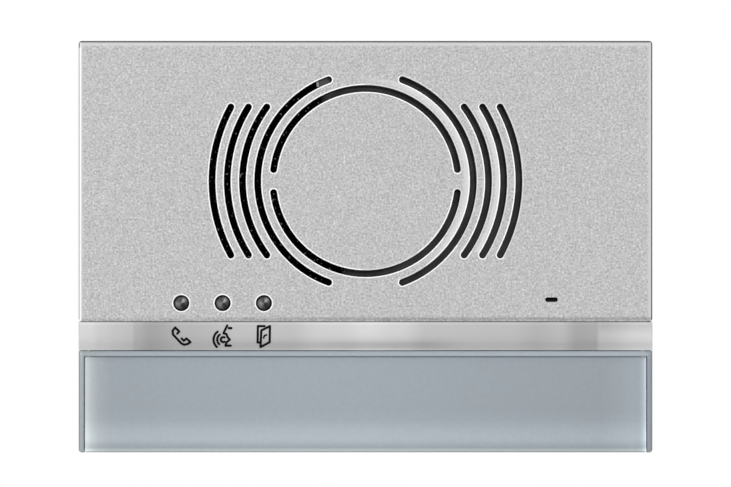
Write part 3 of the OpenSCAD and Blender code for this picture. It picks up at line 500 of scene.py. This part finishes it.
def tinted_acrylic(name, across_levels, up_factors, box):
    """Blue-grey acrylic with painted light and shade: screen levels from left to right, times factors from the
    bottom up.
    """
    lo, hi = box
    tint = (0.885, 1.0, 1.10)
    s = Shader(name, tone(145, tint), roughness=0.3, coat_weight=0.5, coat_roughness=0.08)
    across = s.rescaled(s.axis("X"), lo.x, hi.x)
    up = s.rescaled(s.axis("Z"), lo.z, hi.z)
    shade = s.ramp(up, greys(up_factors))
    toned = s.blended(1.0, s.ramp(across, screen_tones(across_levels, tint)), shade, "MULTIPLY")
    # Less blue at the left and the lower edge
    at_rim = s.math("MAXIMUM", s.rescaled(across, 0.05, 0.0), s.rescaled(up, 0.05, 0.02))
    toned = s.blended(at_rim, toned, s.blended(1.0, toned, (1.04, 1.0, 0.93), "MULTIPLY"))
    uneven = s.ramp(s.noise(0.5 * MM, detail=2), greys([(0.3, 0.975), (0.7, 1.025)]))
    s.paint(s.blended(1.0, toned, uneven, "MULTIPLY"))
    return s.material


def lens_acrylic(box):
    """The button's pane has painted light at its ends and in a band along its lower edge."""
    across = [(0.0, 204), (0.007, 184), (0.014, 168), (0.025, 155), (0.046, 147), (0.08, 146), (0.16, 148),
              (0.38, 149), (0.50, 148), (0.70, 143), (0.92, 138), (0.943, 141), (0.973, 146), (0.984, 146),
              (0.990, 151), (0.995, 166), (1.0, 215)]
    up = [(0.0, 1.25), (0.011, 1.4), (0.022, 1.8), (0.035, 1.42), (0.045, 1.15), (0.06, 1.09), (0.08, 1.13),
          (0.108, 1.24), (0.13, 1.31), (0.17, 1.32), (0.235, 1.25), (0.34, 1.08), (0.45, 1.02), (0.985, 1.02),
          (1.0, 1.5)]
    return tinted_acrylic("lens_acrylic", across, up, box)


def bezel_acrylic(box):
    """The surround has a painted highlight at its left edge and painted shade along its right rail."""
    across = [(0.0, 120), (0.001, 165), (0.0018, 174), (0.0035, 168), (0.0075, 148), (0.0096, 145),
              (0.012, 147), (0.988, 147), (0.9905, 140), (0.995, 137), (0.998, 128), (1.0, 100)]
    up = [(0.0, 1.0), (0.9, 1.0), (0.945, 1.1), (0.955, 0.92), (0.964, 1.18), (0.975, 1.2), (0.984, 1.03),
          (0.990, 1.0), (0.996, 1.25), (1.0, 1.6)]
    return tinted_acrylic("bezel_acrylic", across, up, box)


def smoked_lens(box):
    """Smoked plastic over a dark lamp: a dark rim of painted shade, with painted reflections as light and dark
    wedges round the middle.
    """
    middle = (box[0] + box[1]) / 2
    s = Shader("smoked_lens", tone(60), roughness=0.12, coat_weight=0.3, coat_roughness=0.03,
               specular_ior_level=0.2)
    right = s.math("SUBTRACT", s.axis("X"), middle.x)
    above = s.math("SUBTRACT", s.axis("Z"), middle.z)
    around = s.rescaled(s.math("ARCTAN2", above, right), -math.pi, math.pi)
    # Painted reflections, anticlockwise from the left: light, dark at the lower right, light at the upper
    # right, darker at the top
    levels = [(0.0, 122), (0.12, 112), (0.22, 74), (0.30, 34), (0.38, 24), (0.46, 46), (0.54, 72), (0.60, 140),
              (0.66, 150), (0.72, 92), (0.77, 66), (0.88, 92), (1.0, 122)]
    wedges = s.ramp(around, screen_tones(levels))
    # Painted reflections in diagonal streaks, which also vary the gloss
    streaks = s.noise(0.7 * MM, detail=2, stretch=(1, 1, 0.4), turn=-40)
    uneven = s.ramp(streaks, greys([(0.38, 0.65), (0.62, 1.2)]))
    # Painted shade: the lens darkens the deeper it sits in its hole
    sunk = s.rescaled(s.axis("Y"), face_y + 0.25 * MM, face_y + 0.8 * MM)
    shade = s.ramp(sunk, greys([(0.0, 1), (0.3, 0.8), (0.65, 0.1), (1.0, 0.05)]))
    lit = s.blended(1.0, wedges, uneven, "MULTIPLY")
    s.paint(s.blended(1.0, lit, shade, "MULTIPLY"))
    s.gloss(streaks, 0.1, 0.2)
    return s.material


def moulded(name, color, roughness=0.55, grain=0.18, depth=0.006, drift=0.12, **sockets):
    """Moulded plastic: a fine spark-eroded grain and a slight drift of tone."""
    s = Shader(name, color, roughness=roughness, **sockets)
    low = tuple(c * (1 - drift) for c in color)
    high = tuple(c * (1 + drift) for c in color)
    s.mottle(low, high, size=7 * MM)
    fine = s.noise(grain * MM, detail=2)
    s.gloss(fine, roughness - 0.06, roughness + 0.08)
    s.bump(fine, depth * MM, 0.7)
    return s.material


def metal(name, color, roughness, size=0.6):
    """Plated or bare metal with slightly uneven gloss."""
    s = Shader(name, color, roughness=roughness, metallic=1.0)
    cloud = s.noise(size * MM, detail=3)
    s.paint(s.ramp(cloud, [(0.3, tuple(c * 0.82 for c in color)), (0.7, color)]))
    s.gloss(cloud, roughness - 0.07, roughness + 0.1)
    s.bump(cloud, 0.004 * MM, 0.4)
    return s.material


def woven(name, color, pitch):
    """Cloth: two sets of threads that cross."""
    s = Shader(name, color, roughness=0.8, sheen_weight=0.2)
    threads = []
    for axis in ("X", "Z"):
        threads.append(s.math("SINE", s.math("MULTIPLY", s.axis(axis), 2 * math.pi / (pitch * MM))))
    crossing = s.rescaled(s.math("MULTIPLY", *threads), -1, 1)
    s.paint(s.ramp(crossing, [(0.2, tuple(c * 0.7 for c in color)), (0.8, tuple(c * 1.2 for c in color))]))
    s.bump(crossing, 0.03 * MM, 0.8)
    return s.material


def circuit_board():
    """Green solder mask with a faint pattern of tracks under it."""
    s = Shader("circuit_board", (0.012, 0.10, 0.035), roughness=0.35, coat_weight=0.3, coat_roughness=0.15)
    tracks = s.add("ShaderNodeTexBrick")
    tracks.inputs["Scale"].default_value = 1 / (5 * MM)
    tracks.inputs["Mortar Size"].default_value = 0.03
    tracks.inputs["Color1"].default_value = (0.010, 0.085, 0.03, 1)
    tracks.inputs["Color2"].default_value = (0.012, 0.10, 0.035, 1)
    tracks.inputs["Mortar"].default_value = (0.03, 0.19, 0.06, 1)
    turn = s.add("ShaderNodeMapping")
    turn.inputs["Rotation"].default_value = (math.radians(90), 0, 0)
    s.link(s.coordinates, turn.inputs["Vector"])
    s.link(turn.outputs[0], tracks.inputs["Vector"])
    s.paint(tracks.outputs["Color"])
    s.bump(tracks.outputs["Fac"], 0.02 * MM, 0.4)
    return s.material


def foam_rubber():
    """Black sealing foam with open pores."""
    s = Shader("foam_rubber", (0.022, 0.022, 0.024), roughness=0.85, sheen_weight=0.15)
    pores = s.cells(0.35 * MM)
    # Painted shade: the pores are darker in their middles
    s.paint(s.ramp(pores, [(0.1, (0.012, 0.012, 0.013)), (0.6, (0.03, 0.03, 0.032))]))
    s.bump(pores, 0.05 * MM, 0.8)
    return s.material


def sintered(name, color):
    """A dull, gritty surface, as of ferrite or doped paper."""
    s = Shader(name, color, roughness=0.7)
    grit = s.noise(0.3 * MM, detail=4)
    s.paint(s.ramp(grit, [(0.3, tuple(c * 0.6 for c in color)), (0.7, tuple(c * 1.4 for c in color))]))
    s.bump(grit, 0.03 * MM, 0.8)
    return s.material


def wound_wire(name, color):
    """Enamelled wire wound in fine turns along Y."""
    s = Shader(name, color, roughness=0.3, metallic=0.9)
    turns = s.math("SINE", s.math("MULTIPLY", s.axis("Y"), 2 * math.pi / (0.18 * MM)))
    shade = s.rescaled(turns, -1, 1)
    # Painted shade darkens the grooves between the turns
    s.paint(s.ramp(shade, [(0.0, tuple(c * 0.35 for c in color)), (0.7, color)]))
    s.bump(shade, 0.04 * MM, 0.9)
    return s.material


# ---- Finishes by material slot ----

def make_finishes():
    return {
        "metal_face": speckled_paint(),
        "satin_strip": satin_silver(),
        "black_print": moulded("black_ink", (0.004, 0.004, 0.004), 0.7, grain=0.1, depth=0.002,
                               specular_ior_level=0.1),
        "milky_acrylic": moulded("milky_acrylic", (0.55, 0.62, 0.68), 0.4, depth=0.003),
        "card": moulded("pale_card", (0.62, 0.67, 0.70), 0.8, grain=0.3, depth=0.008, drift=0.04),
        "black_abs": moulded("black_abs", (0.018, 0.019, 0.021), 0.5, grain=0.22, depth=0.02),
        "grey_frame": moulded("grey_frame", (0.06, 0.063, 0.067), 0.55, grain=0.3, depth=0.02),
        "seal_rubber": foam_rubber(),
        "black_mesh": baffle_cloth(),
        "zinc_steel": metal("zinc_steel", (0.60, 0.62, 0.65), 0.28),
        "pressed_steel": metal("pressed_steel", (0.45, 0.46, 0.47), 0.35, size=2.0),
        "ferrite": sintered("ferrite", (0.035, 0.035, 0.037)),
        "doped_paper": sintered("doped_paper", (0.018, 0.018, 0.019)),
        "spider_cloth": woven("spider_cloth", (0.42, 0.27, 0.09), 0.5),
        "copper_wire": wound_wire("copper_wire", (0.62, 0.27, 0.12)),
        "phenolic": moulded("phenolic", (0.20, 0.10, 0.04), 0.6, grain=0.4, depth=0.02, drift=0.3),
        "lead_sleeve": moulded("lead_sleeve", (0.30, 0.015, 0.015), 0.45, depth=0.003),
        "nylon_natural": moulded("nylon_natural", (0.62, 0.58, 0.46), 0.45, depth=0.004),
        "nickel_can": metal("nickel_can", (0.55, 0.54, 0.52), 0.25),
        "solder_mask": circuit_board(),
        "led_package": moulded("led_package", (0.75, 0.68, 0.42), 0.3, depth=0.002),
        "switch_black": moulded("component_black", (0.015, 0.015, 0.016), 0.5, grain=0.12, depth=0.008),
        "plunger_grey": moulded("plunger_grey", (0.38, 0.39, 0.40), 0.45, depth=0.003),
        "spring_steel": metal("spring_steel", (0.50, 0.51, 0.53), 0.22, size=0.3),
        "capacitor_sleeve": moulded("capacitor_sleeve", (0.012, 0.02, 0.06), 0.3, depth=0.002),
        "relay_blue": moulded("relay_blue", (0.02, 0.06, 0.24), 0.5),
        "trimmer_blue": moulded("trimmer_blue", (0.03, 0.11, 0.36), 0.45),
        "rotor_white": moulded("rotor_white", (0.72, 0.72, 0.68), 0.4, depth=0.003, drift=0.03),
        "dip_red": moulded("dip_red", (0.30, 0.018, 0.018), 0.45),
        "terminal_green": moulded("terminal_green", (0.025, 0.20, 0.075), 0.45, grain=0.25, depth=0.012),
    }


def finish_for(node, slot_name, finishes):
    """The slot's finish, or one made to fit the node's own box."""
    fitted = {"button_lens": lens_acrylic, "button_bezel": bezel_acrylic}
    if slot_name == "smoked_lens":
        return smoked_lens(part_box(node))
    if node in fitted:
        return fitted[node](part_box(node))
    return finishes[slot_name]


# Width of the rounded edges of each node, in millimetres
EDGE_WIDTHS = {
    "icon_strip": 0.08,
    "button_bezel": 0.10,
    "button_lens": 0.10,
    "button_tray": 0.10,
    "chassis": 0.12,
    "rear_housing": 0.30,
    "mounting_frame": 0.25,
    "wall_seal": 0.20,
    "terminal_plug": 0.15,
    "terminal_header": 0.12,
    "terminal_screws": 0.08,
    "dip_switch_body": 0.15,
    "dip_slider_1": 0.08,
    "dip_slider_2": 0.08,
    "trimmer_bodies": 0.15,
    "speaker_trimmer_rotor": 0.08,
    "mic_trimmer_rotor": 0.08,
    "module_lock_screw": 0.10,
    "housing_screws": 0.08,
}


def round_edges(piece, width):
    """Softens a node's sharp edges with modifiers, which leave its CAD mesh as it is."""
    weld = piece.modifiers.new("weld", "WELD")
    weld.merge_threshold = 0.0005 * MM
    flat = piece.modifiers.new("flat_faces", "DECIMATE")
    flat.decimate_type = "DISSOLVE"
    flat.angle_limit = math.radians(0.5)
    bevel = piece.modifiers.new("edges", "BEVEL")
    bevel.width = width
    bevel.segments = 2 if width < 0.2 * MM else 4
    bevel.limit_method = "ANGLE"
    bevel.angle_limit = math.radians(35)
    bevel.harden_normals = True


def shade_smooth_by_angle(mesh):
    """Smooth shading that keeps edges sharper than 30 degrees."""
    if "custom_normal" in mesh.attributes:
        mesh.attributes.remove(mesh.attributes["custom_normal"])
    mesh.shade_smooth()
    mesh.set_sharp_from_angle(angle=math.radians(30))


def dress_nodes():
    """Gives every node its finish, and some of them rounded edges."""
    finishes = make_finishes()
    for part in frame["record"]["subparts"]:
        name = part["node"]
        piece = nodes[name]
        piece.data.materials.clear()
        piece.data.materials.append(finish_for(name, part["material_slot"], finishes))
        shade_smooth_by_angle(piece.data)
        if name in EDGE_WIDTHS:
            round_edges(piece, EDGE_WIDTHS[name] * MM)


def opening_outlines(plate):
    """The closed outlines of the openings in the flat front face, each as points (x, z)."""
    mesh = bmesh.new()
    mesh.from_mesh(plate.data)
    bmesh.ops.remove_doubles(mesh, verts=mesh.verts, dist=0.002 * MM)
    level = 0.001 * MM
    neighbours = {}
    for edge in mesh.edges:
        if any(abs(v.co.y - face_y) > level for v in edge.verts):
            continue
        flat = [face.normal.y < -0.99 for face in edge.link_faces]
        if len(flat) == 2 and flat[0] != flat[1]:
            a, b = (tuple(round(c, 7) for c in (v.co.x, v.co.z)) for v in edge.verts)
            neighbours.setdefault(a, []).append(b)
            neighbours.setdefault(b, []).append(a)
    mesh.free()
    outlines = []
    while neighbours:
        point = next(iter(neighbours))
        outline = []
        while point in neighbours:
            outline.append(point)
            onward = [n for n in neighbours.pop(point) if n in neighbours]
            point = onward[0] if onward else None
        outlines.append(outline)
    widest = max(outlines, key=lambda o: max(x for x, z in o))
    return [outline for outline in outlines if outline is not widest and len(outline) > 5]


def signed_area(outline):
    """Positive when the outline runs anticlockwise."""
    pairs = zip(outline, outline[1:] + outline[:1])
    return sum(x0 * z1 - x1 * z0 for (x0, z0), (x1, z1) in pairs) / 2


def add_rims():
    """A fine bead along each opening of the plate, where the pressed metal rolls into it."""
    # Distance from the opening's edge, and height above the face, in millimetres
    profile = [(0.06, -0.14), (0.01, -0.10), (0.01, -0.02), (0.06, 0.03), (0.13, 0.045), (0.19, 0.03),
               (0.24, -0.02)]
    count = len(profile)
    points = []
    faces = []
    painted_shade_flags = []
    for outline in opening_outlines(nodes["front_plate"]):
        if signed_area(outline) < 0:
            outline = outline[::-1]
        start = len(points)
        total = len(outline)
        for k, (x, z) in enumerate(outline):
            before = Vector(outline[k - 1])
            here = Vector((x, z))
            after = Vector(outline[(k + 1) % total])
            run = (here - before).normalized() + (after - here).normalized()
            away = Vector((run.y, -run.x)).normalized()
            for out, up in profile:
                points.append((x + away.x * out * MM, face_y - up * MM, z + away.y * out * MM))
            # In the right half, the stretches above and to the right of an opening are duller: they take the
            # painted shade copy of the rim
            painted_shade_flags += [1 if x > 0 and away.x + away.y > 0.2 else 0] * count
        for k in range(total):
            for m in range(count):
                ring = start + k * count
                following = start + (k + 1) % total * count
                onward = (m + 1) % count
                faces.append((ring + m, following + m, following + onward, ring + onward))
    data = bpy.data.meshes.new("opening_rims")
    data.from_pydata(points, [], faces)
    data.shade_smooth()
    data.polygons.foreach_set("material_index", painted_shade_flags)
    # Lit and shaded copies of one rim: the bright tone is a painted highlight and the dull tone a painted
    # shade
    data.materials.append(rolled_rim("painted_highlight_rim", 250))
    data.materials.append(rolled_rim("painted_shade_rim", 214))
    rims = bpy.data.objects.new("opening_rims", data)
    bpy.context.scene.collection.objects.link(rims)
    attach(rims, "housing")


def soften_springs():
    """Gives the return springs a mesh of their own."""
    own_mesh(nodes["return_springs"])


add_camera()
add_studio()
add_floor()
dress_nodes()
add_rims()
soften_springs()
